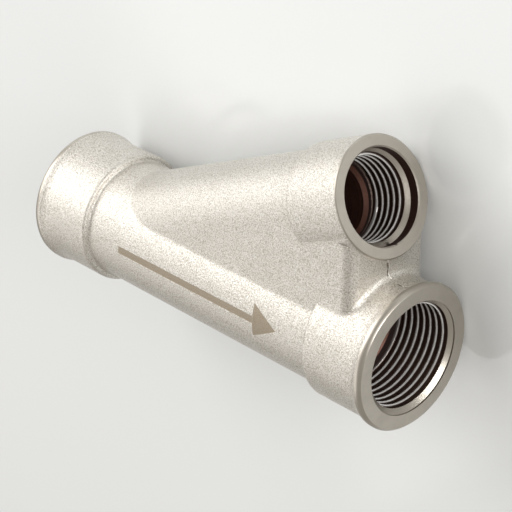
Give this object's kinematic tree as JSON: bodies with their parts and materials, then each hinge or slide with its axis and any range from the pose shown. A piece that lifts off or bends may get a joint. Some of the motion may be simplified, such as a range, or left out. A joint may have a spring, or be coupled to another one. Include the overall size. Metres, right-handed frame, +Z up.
{
  "type": "angled tee pipe fitting",
  "caption": "Cast tee fitting with a straight run, a branch that slants forward beside the outlet, a filled web between them and female pipe threads.",
  "frame": {"origin": "where the axes of the run and the branch cross", "axes": "+X along the run towards its outlet, +Y across to the side the branch is on, +Z up as the fitting lies on a surface"},
  "size_m": [0.1112, 0.0643, 0.0344],
  "materials": {
    "cast_metal": "nickel plated, fine sand-cast skin, with machined faces and mouths"
  },
  "bodies": {
    "root": {"tee_body": "cast_metal"}
  },
  "joints": []
}
